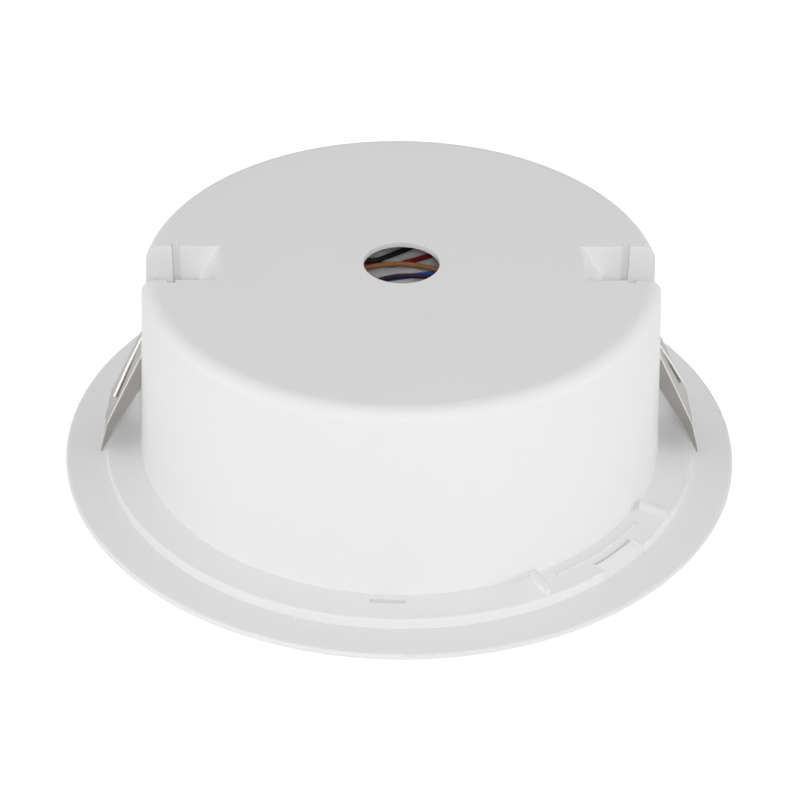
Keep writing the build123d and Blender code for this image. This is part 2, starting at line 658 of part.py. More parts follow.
def spider():
    """Corrugated centring disc, glued to the basket's ledge and the coil former."""
    inner = COIL_FORMER_RADIUS + GLUE_GAP
    flat = SPIDER_LEDGE_RADIUS
    pitch = (flat - inner) / SPIDER_WAVES
    lower = []
    for wave in range(SPIDER_WAVES):
        lower.append((inner + wave * pitch, LEDGE_HEIGHT - SPIDER_SHEET))
        lower.append((inner + (wave + 0.5) * pitch, LEDGE_HEIGHT - SPIDER_SHEET - SPIDER_WAVE))
    lower.append((flat, LEDGE_HEIGHT - SPIDER_SHEET))
    lower.append((BASKET_NECK_RADIUS - SPIDER_SHEET, LEDGE_HEIGHT - SPIDER_SHEET))
    upper = [(radius, height + SPIDER_SHEET) for radius, height in reversed(lower)]
    return sharp(lower + upper)


def coil_former():
    """Thin sleeve that carries the voice coil."""
    inner = COIL_FORMER_RADIUS - COIL_FORMER_WALL
    return flat_ring(COIL_FORMER_RADIUS, inner, COIL_FORMER_BOTTOM, COIL_FORMER_TOP)


def coil_winding():
    """Copper voice coil on the former."""
    inner = COIL_FORMER_RADIUS + GLUE_GAP
    top = COIL_FORMER_TOP - COIL_FORMER_WALL
    return flat_ring(inner + COIL_WINDING_THICKNESS, inner, top - COIL_WINDING_HEIGHT, top)


def flat_ring(outer, inner, low, high):
    """Plain ring between two heights."""
    return upright(outer, low, high) - upright(inner, low - OVERCUT, high + OVERCUT)


def back_plate():
    """Steel back plate with the pole piece, drilled for the strap's screws."""
    plate = upright(BACK_PLATE_RADIUS, BACK_PLATE_FRONT, STRAP_FRONT)
    plate += upright(POLE_RADIUS, TOP_PLATE_FRONT, BACK_PLATE_FRONT)
    hole_low = STRAP_FRONT - STRAP_SCREW_DEPTH
    hole = upright(STRAP_SCREW_RADIUS + PILOT_CLEARANCE, hole_low, STRAP_FRONT + OVERCUT)
    for offset in (-STRAP_SCREW_SPACING / 2, STRAP_SCREW_SPACING / 2):
        plate -= at(STRAP_AZIMUTH, offset) * hole
    return plate


def screw(radius, head_seat, depth):
    """Pan head screw standing on a seat."""
    head = upright(SCREW_HEAD_RADIUS, head_seat, head_seat + SCREW_HEAD_HEIGHT)
    return head + upright(radius, head_seat - depth, head_seat)


def driver_screws():
    """Screws that hold the driver to the baffle's bosses."""
    depth = RIM_BACK - GRILLE_BACK - BOSS_GAP - BAFFLE_THICKNESS / 2 - PILOT_CLEARANCE
    one = screw(DRIVER_SCREW_RADIUS, RIM_BACK, depth)
    return [at(azimuth, DRIVER_SCREW_CIRCLE) * one for azimuth in DRIVER_SCREW_AZIMUTHS]


def strap_screws():
    """Screws that hold the strap to the back plate."""
    one = screw(STRAP_SCREW_RADIUS, STRAP_BACK, STRAP_SHEET + STRAP_SCREW_DEPTH - PILOT_CLEARANCE)
    half = STRAP_SCREW_SPACING / 2
    return [at(STRAP_AZIMUTH, offset) * one for offset in (-half, half)]


def tag_plane():
    """Plane on the basket's rear spoke: X across the spoke, Y down it, Z outwards."""
    low = Vector(0, BASKET_MOUTH_RADIUS + basket_side(), RIM_BACK)
    high = Vector(0, BASKET_NECK_RADIUS + basket_side(), LEDGE_HEIGHT + BASKET_SHEET)
    up = (high - low).normalized()
    normal = up.cross(Vector(1, 0, 0))
    return Plane(origin=(low + high) * 0.5 + normal * GLUE_GAP, x_dir=(1, 0, 0), z_dir=normal)


def tag_board():
    """Insulating strip that carries the driver's solder tags."""
    return tag_plane() * Pos(0, 0, TAG_BOARD_SIZE[2] / 2) * Box(*TAG_BOARD_SIZE)


def terminal_tags():
    """Pair of brass solder tags."""
    height = TAG_BOARD_SIZE[2] + TAG_SIZE[2] / 2
    half = TAG_SPACING / 2
    return [tag_plane() * Pos(x, 0, height) * Box(*TAG_SIZE) for x in (-half, half)]


def tinsel_leads():
    """Pair of flexible leads from the tag board to the back of the cone."""
    slope = CONE_DEPTH / (SURROUND_INNER_RADIUS + CONE_SHEET / 2 - cone_hole())
    end_y = 2 * cone_hole()
    end_z = RIM_FRONT + CONE_SHEET + CONE_DEPTH - slope * (end_y - cone_hole()) + 2 * TINSEL_RADIUS
    depth = 1.1 * BASKET_SHEET + 3 * GLUE_GAP + TINSEL_RADIUS
    leads = []
    for x in (-TAG_SPACING / 2, TAG_SPACING / 2):
        start = tag_plane().from_local_coords((x, -TAG_BOARD_SIZE[1], -depth))
        middle = Vector(x, start.Y - 12 * TINSEL_RADIUS, start.Z - 6 * TINSEL_RADIUS)
        points = [start, middle, (x, end_y, end_z)]
        leads.append(tube(points, [6 * TINSEL_RADIUS], TINSEL_RADIUS))
    return leads


def mounting_strap():
    """Steel strap across the back plate, stepped down to carry the terminal block."""
    outer = CORE_RADIUS + BOBBIN_REACH
    long_run = outer + STRAP_STEP_RADIUS
    run = block(long_run, STRAP_WIDTH, STRAP_FRONT, STRAP_BACK)
    strap = Pos((outer - STRAP_STEP_RADIUS) / 2, 0, 0) * run
    step_low = BLOCK_BOTTOM - STRAP_SHEET
    step = block(STRAP_SHEET, STRAP_WIDTH, step_low, STRAP_BACK)
    strap += Pos(-STRAP_STEP_RADIUS - STRAP_SHEET / 2, 0, 0) * step
    shelf = STRAP_BLOCK_END - STRAP_STEP_RADIUS
    strap += Pos(-STRAP_STEP_RADIUS - shelf / 2, 0, 0) * block(shelf, STRAP_WIDTH, step_low, BLOCK_BOTTOM)
    tab_reach = CORE_WIDTH + 2 * BOBBIN_GAP + 2 * STRAP_SHEET
    tabs = block(CORE_STACK, tab_reach, STRAP_FRONT - CORE_TAB_HEIGHT, STRAP_BACK)
    tabs -= block(2 * CORE_STACK, CORE_WIDTH + 2 * BOBBIN_GAP, STRAP_FRONT - CORE_HEIGHT, STRAP_FRONT)
    strap += Pos(CORE_RADIUS, 0, 0) * tabs
    lead_window = block(LEAD_WINDOW_WIDTH, LEAD_WINDOW_LENGTH, STRAP_FRONT - OVERCUT, STRAP_BACK + OVERCUT)
    strap -= Pos(lead_window_radius(), 0, 0) * lead_window
    hole = upright(STRAP_SCREW_RADIUS + SCREW_CLEARANCE, STRAP_FRONT - OVERCUT, STRAP_BACK + OVERCUT)
    for offset in (-STRAP_SCREW_SPACING / 2, STRAP_SCREW_SPACING / 2):
        strap -= Pos(offset, 0, 0) * hole
    return Rot(0, 0, STRAP_AZIMUTH) * strap


def lead_window_radius():
    """Distance from the axis to the strap's window over the transformer's leads."""
    return CORE_RADIUS - BOBBIN_REACH + LEAD_WINDOW_WIDTH / 2


def transformer_core():
    """Laminated core with two windows either side of its centre leg."""
    core = block(CORE_STACK, CORE_WIDTH, CORE_BOTTOM, STRAP_FRONT)
    middle = (CORE_BOTTOM + STRAP_FRONT) / 2
    offset = (CORE_LEG + CORE_WINDOW_WIDTH) / 2
    for y in (-offset, offset):
        core -= Pos(0, y, middle) * Box(2 * CORE_STACK, CORE_WINDOW_WIDTH, CORE_WINDOW_HEIGHT)
    return at(STRAP_AZIMUTH, CORE_RADIUS) * core


def transformer_bobbin():
    """Nylon bobbin on the core's centre leg."""
    middle = (CORE_BOTTOM + STRAP_FRONT) / 2
    half = CORE_WINDOW_HEIGHT / 2 - BOBBIN_GAP
    inner_x = CORE_STACK + 2 * BOBBIN_GAP
    inner_y = CORE_LEG + 2 * BOBBIN_GAP
    flange_y = CORE_LEG + 2 * CORE_WINDOW_WIDTH - 2 * BOBBIN_GAP
    bobbin = block(inner_x + 2 * BOBBIN_WALL, inner_y + 2 * BOBBIN_WALL, middle - half, middle + half)
    for low in (middle - half, middle + half - BOBBIN_FLANGE):
        bobbin += block(2 * BOBBIN_REACH, flange_y, low, low + BOBBIN_FLANGE)
    bobbin -= block(inner_x, inner_y, middle - half - OVERCUT, middle + half + OVERCUT)
    return at(STRAP_AZIMUTH, CORE_RADIUS) * bobbin


def transformer_winding():
    """Wound coil between the bobbin's flanges."""
    middle = (CORE_BOTTOM + STRAP_FRONT) / 2
    half = CORE_WINDOW_HEIGHT / 2 - BOBBIN_FLANGE - 2 * BOBBIN_GAP
    inner = 2 * BOBBIN_WALL + 4 * BOBBIN_GAP
    inner_x = CORE_STACK + inner
    inner_y = CORE_LEG + inner
    coil_x = 2 * (BOBBIN_REACH - BOBBIN_GAP)
    coil = block(coil_x, inner_y + 2 * WINDING_THICKNESS, middle - half, middle + half)
    coil = fillet(coil.edges().filter_by(Axis.Z), BOBBIN_WALL)
    coil -= block(inner_x, inner_y, middle - half - OVERCUT, middle + half + OVERCUT)
    return at(STRAP_AZIMUTH, CORE_RADIUS) * coil


def pole_offsets():
    """Places of the terminal block's poles across its width."""
    return [(pole - (BLOCK_POLES - 1) / 2) * BLOCK_POLE_PITCH for pole in range(BLOCK_POLES)]


def block_place():
    """Place of the terminal block, with its local X pointing away from the driver's axis."""
    return at(STRAP_AZIMUTH + 180, BLOCK_RADIUS)


def terminal_block():
    """Terminal block with screw wells on top and lead entries on its inner side."""
    body = block(BLOCK_DEPTH, BLOCK_WIDTH, BLOCK_BOTTOM, BLOCK_TOP)
    well_low = BLOCK_TOP - BLOCK_SCREW_LENGTH - BOBBIN_GAP
    well = upright(BLOCK_SCREW_RADIUS + PILOT_CLEARANCE, well_low, BLOCK_TOP + OVERCUT)
    entry_x = -BLOCK_DEPTH / 2 + BLOCK_ENTRY_DEPTH / 2
    entry_z = BLOCK_TOP - BLOCK_ENTRY_DROP
    entry = Pos(entry_x, 0, entry_z) * Rot(0, 90, 0) * Cylinder(BLOCK_ENTRY_RADIUS, BLOCK_ENTRY_DEPTH)
    for y in pole_offsets():
        body -= Pos(BLOCK_DEPTH / 4, y, 0) * well
        body -= Pos(0, y, 0) * entry
    return block_place() * body


def terminal_screws():
    """Clamp screws in the terminal block's wells."""
    low = BLOCK_TOP - BLOCK_SCREW_LENGTH - BOBBIN_GAP
    one = upright(BLOCK_SCREW_RADIUS, low, low + BLOCK_SCREW_LENGTH)
    return [block_place() * Pos(BLOCK_DEPTH / 4, y, 0) * one for y in pole_offsets()]


def lead_start(offset):
    """Foot and bend of a lead that rises from the bobbin through the strap's window."""
    foot = (CORE_BOTTOM + STRAP_FRONT + CORE_WINDOW_HEIGHT) / 2 - BOBBIN_GAP
    place = at(STRAP_AZIMUTH, lead_window_radius()) * Pos(0, -offset, foot)
    return Vector(place.position)


def block_end(pole):
    """Approach and end of a lead in one entry of the terminal block."""
    y = pole_offsets()[pole]
    entry_z = BLOCK_TOP - BLOCK_ENTRY_DROP
    inside = BLOCK_RADIUS - BLOCK_DEPTH / 2 + BLOCK_ENTRY_DEPTH / 2
    outside = BLOCK_RADIUS - BLOCK_DEPTH / 2 - LEAD_STRAIGHT
    rise = at(STRAP_AZIMUTH + 180, STRAP_STEP_RADIUS) * Pos(0, y, LEAD_LOW)
    face = at(STRAP_AZIMUTH + 180, outside) * Pos(0, y, entry_z)
    end = at(STRAP_AZIMUTH + 180, inside) * Pos(0, y, entry_z)
    return [Vector(place.position) for place in (rise, face, end)]


def tag_end(x):
    """Approach and end of a lead on one of the driver's solder tags."""
    height = TAG_BOARD_SIZE[2] + TAG_SIZE[2] + LEAD_RADIUS + BOBBIN_GAP
    end = tag_plane().from_local_coords((x, 0, height))
    return [Vector(x, end.Y + 2 * LEAD_RADIUS, (end.Z + LEAD_LOW) / 2), end]


def lead(row, height, crossing, ending, rounds):
    """Insulated lead from the transformer, across under the cable hole at a height, to its terminal."""
    foot = lead_start(row * LEAD_SPACING)
    bend = Vector(foot.X, foot.Y, height)
    points = [foot, bend] + [Vector(x, y, height) for x, y in crossing] + ending
    return tube(points, rounds, LEAD_RADIUS)


def leads():
    """The five leads that show through the cable hole."""
    half = TAG_SPACING / 2
    return {
        "lead_black": lead(
            2,
            LEAD_HIGH,
            [(-9.9, 7.8), (8.0, 20.6), (-4.0, 36.0)],
            tag_end(-half),
            [3.0, 4.5, 7.0, 6.0, 6.0],
        ),
        "lead_red": lead(
            1,
            LEAD_LOW,
            [(-11.5, 11.9), (-2.4, 9.5), (13.5, 17.7), (4.0, 36.0)],
            tag_end(half),
            [3.0, 8.0, 8.0, 6.0, 6.0, 6.0],
        ),
        "lead_brown": lead(
            0,
            LEAD_HIGH,
            [(-17.0, 3.5), (-1.0, 9.0), (14.5, 3.7)],
            block_end(2),
            [3.0, 7.0, 20.0, 9.0, 5.0, 1.8],
        ),
        "lead_blue": lead(
            -1,
            LEAD_LOW,
            [(-14.0, -3.2), (-4.5, 2.4), (14.5, 6.7)],
            block_end(3),
            [3.0, 6.0, 20.0, 7.0, 5.0, 1.8],
        ),
        "lead_violet": lead(
            -2,
            LEAD_HIGH,
            [(-14.0, -6.0), (-2.2, 1.7), (13.5, 0.8)],
            block_end(1),
            [3.0, 6.0, 15.0, 7.0, 5.0, 1.8],
        ),
    }


def as_one(shapes):
    """Group of separate solids in one node."""
    return Compound(children=list(shapes))


def all_parts():
    """Every node of the loudspeaker, by name."""
    parts = {
        "front_bezel": front_bezel(),
        "grille": grille(),
        "back_cover": back_cover(),
        "gasket": gasket(),
        "basket": basket(),
        "surround": surround(),
        "cone": cone(),
        "dust_cap": dust_cap(),
        "spider": spider(),
        "coil_former": coil_former(),
        "coil_winding": coil_winding(),
        "top_plate": flat_ring(TOP_PLATE_RADIUS, TOP_PLATE_HOLE, TOP_PLATE_FRONT, MAGNET_FRONT),
        "magnet": flat_ring(MAGNET_RADIUS, MAGNET_INNER_RADIUS, MAGNET_FRONT, BACK_PLATE_FRONT),
        "back_plate": back_plate(),
        "driver_screws": as_one(driver_screws()),
        "tag_board": tag_board(),
        "terminal_tags": as_one(terminal_tags()),
        "tinsel_leads": as_one(tinsel_leads()),
        "mounting_strap": mounting_strap(),
        "strap_screws": as_one(strap_screws()),
        "transformer_core": transformer_core(),
        "transformer_bobbin": transformer_bobbin(),
        "transformer_winding": transformer_winding(),
        "terminal_block": terminal_block(),
        "terminal_screws": as_one(terminal_screws()),
    }
    clip = {"clip_arm": clip_arm(), "clip_pin": clip_pin(), "clip_spring": clip_spring()}
    for name, shape in clip.items():
        parts[name + "_right"] = shape
        parts[name + "_left"] = Rot(0, 0, 180) * shape
    parts.update(leads())
    return parts


os.makedirs("parts", exist_ok=True)
for node, shape in all_parts().items():
    export_step(shape, f"parts/{node}.step")
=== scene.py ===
import json
import math

import bmesh
import bpy
from mathutils import Matrix, Vector


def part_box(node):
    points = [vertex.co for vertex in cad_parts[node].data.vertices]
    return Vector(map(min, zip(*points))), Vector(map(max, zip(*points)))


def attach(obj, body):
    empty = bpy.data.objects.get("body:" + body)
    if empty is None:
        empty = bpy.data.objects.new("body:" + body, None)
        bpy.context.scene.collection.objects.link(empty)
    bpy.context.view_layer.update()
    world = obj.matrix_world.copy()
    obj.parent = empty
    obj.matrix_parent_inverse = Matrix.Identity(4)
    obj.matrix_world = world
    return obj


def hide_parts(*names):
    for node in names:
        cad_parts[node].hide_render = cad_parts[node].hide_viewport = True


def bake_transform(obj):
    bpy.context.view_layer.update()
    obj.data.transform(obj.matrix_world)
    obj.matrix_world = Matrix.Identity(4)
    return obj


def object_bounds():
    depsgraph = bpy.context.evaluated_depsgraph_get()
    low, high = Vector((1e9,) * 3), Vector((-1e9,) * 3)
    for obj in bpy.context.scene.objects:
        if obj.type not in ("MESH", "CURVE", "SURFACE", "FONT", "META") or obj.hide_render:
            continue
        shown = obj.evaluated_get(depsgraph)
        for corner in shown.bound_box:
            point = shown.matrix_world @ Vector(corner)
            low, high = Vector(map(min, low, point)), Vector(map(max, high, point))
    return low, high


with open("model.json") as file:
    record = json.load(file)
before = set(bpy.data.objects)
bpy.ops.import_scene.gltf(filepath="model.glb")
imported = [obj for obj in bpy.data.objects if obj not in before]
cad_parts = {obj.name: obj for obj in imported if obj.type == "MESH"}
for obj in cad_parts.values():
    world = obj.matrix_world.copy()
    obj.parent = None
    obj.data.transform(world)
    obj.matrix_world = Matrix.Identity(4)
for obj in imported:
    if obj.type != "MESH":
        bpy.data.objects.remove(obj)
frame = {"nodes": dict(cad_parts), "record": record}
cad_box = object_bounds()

# The photograph's camera, in metres and degrees
CAMERA_PLACE = Vector((0.0, -0.59833, 0.43758))
CAMERA_PITCH = 35.1427
CAMERA_ROLL = 0.6761
CAMERA_TURN = -1.1
CAMERA_LENS = 110.316
CAMERA_SENSOR = 36.0

# Light and floor; each soft box has its place, width, height and power
SKY_LIGHT = 0.53
SOFT_BOXES = {
    "camera_soft_box": (Vector((0.0, -1.5, 1.08)), 0.35, 0.35, 10.0),
    "left_soft_box": (Vector((-1.75, -0.5, 0.22)), 1.2, 0.4, 6.0),
    "right_soft_box": (Vector((1.75, -0.5, 0.22)), 1.2, 0.4, 6.0),
}
FLOOR_HALF_WIDTH = 6.0
FLOOR_COLOUR = (0.9, 0.9, 0.9, 1.0)
FLOOR_GLOW = 0.54
FLOOR_DROP = 0.0002
WHITE = (1.0, 1.0, 1.0, 1.0)

# Noise values between which a colour or roughness runs from its low end to its high end
NOISE_LOW = 0.3
NOISE_HIGH = 0.7

# Painted highlight along sharp edges, standing in for the glint of the clips' fold edges: its steel colour,
# and how far a rounded normal leaves the face's own there, as a cosine
EDGE_GLINT_COLOUR = (0.95, 0.945, 0.93)
EDGE_GLINT_STARTS = 0.995
EDGE_GLINT_FULL = 0.9

# Gloss of the leads' soft insulation
SLEEVE_GLOSS = 0.2

# Stretches that set the direction of fine lines: along the clip arms, and none on round wire
ALONG_ARM = (60.0, 2600.0, 60.0)
ALL_ROUND = (900.0, 900.0, 900.0)

# The clips' torsion springs, in metres and degrees as in the part's source
SPRING_WIRE_RADIUS = 0.0005
SPRING_WIRE_ROUNDING = 3
SPRING_WIRE_STEPS = 3
SPRING_COIL_RADIUS = 0.002
SPRING_PITCH = 0.001
SPRING_COIL_HALF = 0.005
SPRING_POINTS_PER_TURN = 16
SPRING_FIRST_ANGLE = 155.0
SPRING_LAST_ANGLE = 25.0
SPRING_WALL_FOOT = Vector((-0.00594, 0.0, -0.008))
SPRING_LEG_OUT = 0.00556
SPRING_LEG_BEND = 0.006
SPRING_LEG_END = 0.033
SPRING_LEG_FAR = 0.004
ARM_SLOPE = 65.0

# The driver's soft parts, in metres: the rings are cut into equal sectors, and each ring's first radius is
# its held outer edge and its second its edge at the cone
RING_SECTORS = 12
RING_ENDS = {"spider": (0.03, 0.0155), "surround": (0.0562, 0.0506)}
CUT_MARGIN = 0.000001
SMOOTH_ANGLE = 30.0


class Surface:
    """A node material with one Principled shader and coordinates in the part's own frame, in metres."""

    def __init__(self, name, colour, roughness, metallic=0.0):
        self.material = bpy.data.materials.new(name)
        self.material.use_nodes = True
        self.tree = self.material.node_tree
        self.shader = self.tree.nodes["Principled BSDF"]
        self.shader.inputs["Base Color"].default_value = (*colour, 1.0)
        self.shader.inputs["Roughness"].default_value = roughness
        self.shader.inputs["Metallic"].default_value = metallic
        self.colour = colour
        self.roughness = roughness
        self.bumps = None

    def node(self, kind, **values):
        """A new node with the given settings."""
        made = self.tree.nodes.new(kind)
        for name, value in values.items():
            setattr(made, name, value)
        return made

    def link(self, source, target):
        """Joins an output to an input."""
        self.tree.links.new(source, target)

    def place(self, stretch=(1.0, 1.0, 1.0)):
        """Coordinates of the surface, stretched along the part's axes."""
        coordinates = self.node("ShaderNodeTexCoord")
        mapping = self.node("ShaderNodeMapping")
        mapping.inputs["Scale"].default_value = stretch
        self.link(coordinates.outputs["Object"], mapping.inputs["Vector"])
        return mapping.outputs["Vector"]

    def noise(self, scale, detail=4.0, stretch=(1.0, 1.0, 1.0)):
        """Cloudy noise, or lines where it is stretched."""
        made = self.node("ShaderNodeTexNoise")
        made.inputs["Scale"].default_value = scale
        made.inputs["Detail"].default_value = detail
        self.link(self.place(stretch), made.inputs["Vector"])
        return made.outputs["Fac"]

    def wave(self, direction, scale, distortion=0.0):
        """Even bands across one of the part's axes."""
        made = self.node("ShaderNodeTexWave", bands_direction=direction)
        made.inputs["Scale"].default_value = scale
        made.inputs["Distortion"].default_value = distortion
        self.link(self.place(), made.inputs["Vector"])
        return made.outputs["Fac"]

    def spread(self, factor, low, high):
        """A number that runs from low to high with the factor."""
        made = self.node("ShaderNodeMapRange")
        made.inputs["From Min"].default_value = NOISE_LOW
        made.inputs["From Max"].default_value = NOISE_HIGH
        made.inputs["To Min"].default_value = low
        made.inputs["To Max"].default_value = high
        self.link(factor, made.inputs["Value"])
        return made.outputs["Result"]

    def vary_colour(self, factor, change):
        """The base colour, lighter and darker by the given share."""
        ramp = self.node("ShaderNodeValToRGB")
        ends = ramp.color_ramp.elements
        ends[0].position = NOISE_LOW
        ends[1].position = NOISE_HIGH
        ends[0].color = (*[part * (1.0 - change) for part in self.colour], 1.0)
        ends[1].color = (*[min(1.0, part * (1.0 + change)) for part in self.colour], 1.0)
        self.link(factor, ramp.inputs["Fac"])
        self.link(ramp.outputs["Color"], self.shader.inputs["Base Color"])

    def vary_roughness(self, factor, change):
        """The roughness, more and less by the given amount."""
        low = self.roughness - change
        high = self.roughness + change
        self.link(self.spread(factor, low, high), self.shader.inputs["Roughness"])

    def round_edges(self, radius):
        """Catches light along sharp edges, as a small bend or moulding radius in metres does."""
        made = self.node("ShaderNodeBevel")
        made.inputs["Radius"].default_value = radius
        self.bumps = made.outputs["Normal"]

    def paint_edge_highlight(self, radius, colour):
        """Painted highlight: a lighter colour along sharp edges, in place of the glint that light makes
        there, over the colour linked before.
        """
        rounded = self.node("ShaderNodeBevel")
        rounded.inputs["Radius"].default_value = radius
        flat = self.node("ShaderNodeNewGeometry")
        agree = self.node("ShaderNodeVectorMath", operation="DOT_PRODUCT")
        self.link(rounded.outputs["Normal"], agree.inputs[0])
        self.link(flat.outputs["Normal"], agree.inputs[1])
        glint_share = self.node("ShaderNodeMapRange")
        glint_share.inputs["From Min"].default_value = EDGE_GLINT_STARTS
        glint_share.inputs["From Max"].default_value = EDGE_GLINT_FULL
        self.link(agree.outputs["Value"], glint_share.inputs["Value"])
        mix = self.node("ShaderNodeMix", data_type="RGBA")
        self.link(glint_share.outputs["Result"], mix.inputs["Factor"])
        colour_before = self.shader.inputs["Base Color"].links[0].from_socket
        self.link(colour_before, mix.inputs["A"])
        mix.inputs["B"].default_value = (*colour, 1.0)
        self.link(mix.outputs["Result"], self.shader.inputs["Base Color"])

    def bump(self, factor, depth, strength=1.0):
        """Relief of the given depth in metres, on top of any bump made before."""
        made = self.node("ShaderNodeBump")
        made.inputs["Distance"].default_value = depth
        made.inputs["Strength"].default_value = strength
        self.link(factor, made.inputs["Height"])
        if self.bumps is not None:
            self.link(self.bumps, made.inputs["Normal"])
        self.bumps = made.outputs["Normal"]
        self.link(self.bumps, self.shader.inputs["Normal"])


def moulded_plastic(name, colour, roughness):
    """White or tinted plastic with a fine moulded grain."""
    surface = Surface(name, colour, roughness)
    surface.vary_colour(surface.noise(scale=14.0), change=0.008)
    surface.vary_roughness(surface.noise(scale=400.0), change=0.015)
    surface.round_edges(radius=0.0003)
    surface.bump(surface.noise(scale=3200.0, detail=2.0), depth=0.00001, strength=0.35)
    return surface.material


def rolled_steel(name, colour, roughness, across):
    """Plated strip steel with fine rolling lines; across is the stretch that sets their direction."""
    surface = Surface(name, colour, roughness, metallic=1.0)
    streaks = surface.noise(scale=1.0, detail=6.0, stretch=across)
    surface.round_edges(radius=0.0005)
    surface.vary_colour(streaks, change=0.1)
    # Painted highlight: lighter steel along sharp edges for the fold edges' glint
    surface.paint_edge_highlight(radius=0.0006, colour=EDGE_GLINT_COLOUR)
    surface.vary_roughness(streaks, change=0.08)
    surface.bump(streaks, depth=0.00001, strength=0.4)
    return surface.material


def plated_metal(name, colour, roughness, metallic=1.0):
    """Zinc, tin or foil with a faint cloudy spangle."""
    surface = Surface(name, colour, roughness, metallic)
    clouds = surface.noise(scale=260.0, detail=6.0)
    surface.vary_colour(clouds, change=0.08)
    surface.vary_roughness(clouds, change=0.09)
    surface.bump(surface.noise(scale=2400.0), depth=0.00001, strength=0.3)
    return surface.material


def powder_coat(name, colour, roughness):
    """Painted metal with the fine orange peel of a powder coat."""
    surface = Surface(name, colour, roughness)
    surface.vary_colour(surface.noise(scale=18.0), change=0.01)
    surface.vary_roughness(surface.noise(scale=120.0), change=0.05)
    surface.bump(surface.noise(scale=1100.0, detail=2.0), depth=0.00003, strength=0.4)
    return surface.material


def sintered(name, colour, roughness):
    """Ferrite or varnished iron with a gritty face."""
    surface = Surface(name, colour, roughness)
    grit = surface.noise(scale=1500.0, detail=6.0)
    surface.vary_colour(grit, change=0.25)
    surface.vary_roughness(grit, change=0.1)
    surface.bump(grit, depth=0.00004, strength=0.5)
    return surface.material


def pressed_paper(name, colour, roughness):
    """Felted pulp with short fibres."""
    surface = Surface(name, colour, roughness)
    fibres = surface.noise(scale=700.0, detail=8.0, stretch=(1.0, 2.2, 1.4))
    surface.vary_colour(fibres, change=0.3)
    surface.vary_roughness(fibres, change=0.06)
    surface.bump(fibres, depth=0.00008, strength=0.6)
    return surface.material


def rubber(name, colour, roughness):
    """Matt rubber or foam with a fine open grain."""
    surface = Surface(name, colour, roughness)
    pores = surface.noise(scale=1800.0, detail=5.0)
    surface.vary_colour(pores, change=0.2)
    surface.bump(pores, depth=0.00005, strength=0.5)
    return surface.material


def dipped_cloth(name, colour, roughness):
    """Woven cloth stiffened with resin."""
    surface = Surface(name, colour, roughness)
    weave = surface.node("ShaderNodeMath", operation="MULTIPLY")
    for threads, direction in zip(weave.inputs, ("X", "Y")):
        surface.link(surface.wave(direction, scale=420.0), threads)
    surface.vary_colour(weave.outputs["Value"], change=0.25)
    surface.bump(weave.outputs["Value"], depth=0.0001, strength=0.6)
    return surface.material


def wound_wire(name, colour, roughness):
    """Enamelled copper, with the lines of its turns along the height."""
    surface = Surface(name, colour, roughness, metallic=1.0)
    turns = surface.wave("Z", scale=900.0, distortion=0.6)
    surface.vary_colour(turns, change=0.22)
    surface.bump(turns, depth=0.0001, strength=0.7)
    return surface.material


def sleeving(name, colour, roughness):
    """Soft wire insulation with a faint drawn texture."""
    surface = Surface(name, colour, roughness)
    surface.shader.inputs["Specular IOR Level"].default_value = SLEEVE_GLOSS
    draws = surface.noise(scale=500.0, detail=3.0)
    surface.vary_colour(draws, change=0.12)
    surface.vary_roughness(draws, change=0.06)
    surface.bump(surface.noise(scale=2600.0, detail=2.0), depth=0.00001, strength=0.3)
    return surface.material


def make_materials():
    """One material for each material slot of the record: its name, colour and roughness."""
    return {
        "cover_plastic": moulded_plastic("white_plastic", (0.85, 0.852, 0.855), 0.54),
        "grille_paint": powder_coat("grille_powder_coat", (0.84, 0.84, 0.835), 0.42),
        "clip_steel": rolled_steel("clip_strip_steel", (0.35, 0.336, 0.323), 0.45, ALONG_ARM),
        "spring_steel": rolled_steel("spring_wire_steel", (0.64, 0.635, 0.62), 0.36, ALL_ROUND),
        "basket_steel": powder_coat("basket_black", (0.02, 0.02, 0.021), 0.5),
        "plated_steel": plated_metal("dull_zinc", (0.88, 0.88, 0.87), 0.62, metallic=0.0),
        "ferrite": sintered("ferrite_grey", (0.035, 0.035, 0.038), 0.7),
        "cone_paper": pressed_paper("cone_pulp", (0.022, 0.022, 0.024), 0.85),
        "edge_rubber": rubber("edge_black", (0.012, 0.012, 0.012), 0.62),
        "spider_cloth": dipped_cloth("spider_weave", (0.42, 0.24, 0.075), 0.7),
        "gasket_foam": rubber("gasket_black", (0.02, 0.02, 0.02), 0.9),
        "former_foil": plated_metal("former_aluminium", (0.62, 0.62, 0.63), 0.3),
        "copper": wound_wire("enamelled_copper", (0.5, 0.19, 0.07), 0.3),
        "tag_board": pressed_paper("phenolic_board", (0.12, 0.05, 0.018), 0.55),
        "tag_metal": plated_metal("tinned_brass", (0.62, 0.57, 0.42), 0.32),
        "core_steel": sintered("varnished_core", (0.075, 0.075, 0.08), 0.5),
        "bobbin_nylon": moulded_plastic("bobbin_natural", (0.62, 0.6, 0.54), 0.4),
        "block_nylon": moulded_plastic("block_natural", (0.68, 0.68, 0.65), 0.4),
        "lead_black": sleeving("sleeve_black", (0.005, 0.005, 0.006), 0.6),
        "lead_red": sleeving("sleeve_red", (0.16, 0.006, 0.009), 0.6),
        "lead_brown": sleeving("sleeve_brown", (0.25, 0.11, 0.042), 0.6),
        "lead_blue": sleeving("sleeve_blue", (0.008, 0.08, 0.38), 0.6),
        "lead_violet": sleeving("sleeve_violet", (0.02, 0.007, 0.023), 0.6),
    }


def node_slots():
    """The record's material slot of each node."""
    return {subpart["node"]: subpart["material_slot"] for subpart in frame["record"]["subparts"]}


def dress_nodes(materials):
    """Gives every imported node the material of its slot."""
    for node, slot in node_slots().items():
        shown = frame["nodes"][node]
        shown.data.materials.clear()
        shown.data.materials.append(materials[slot])


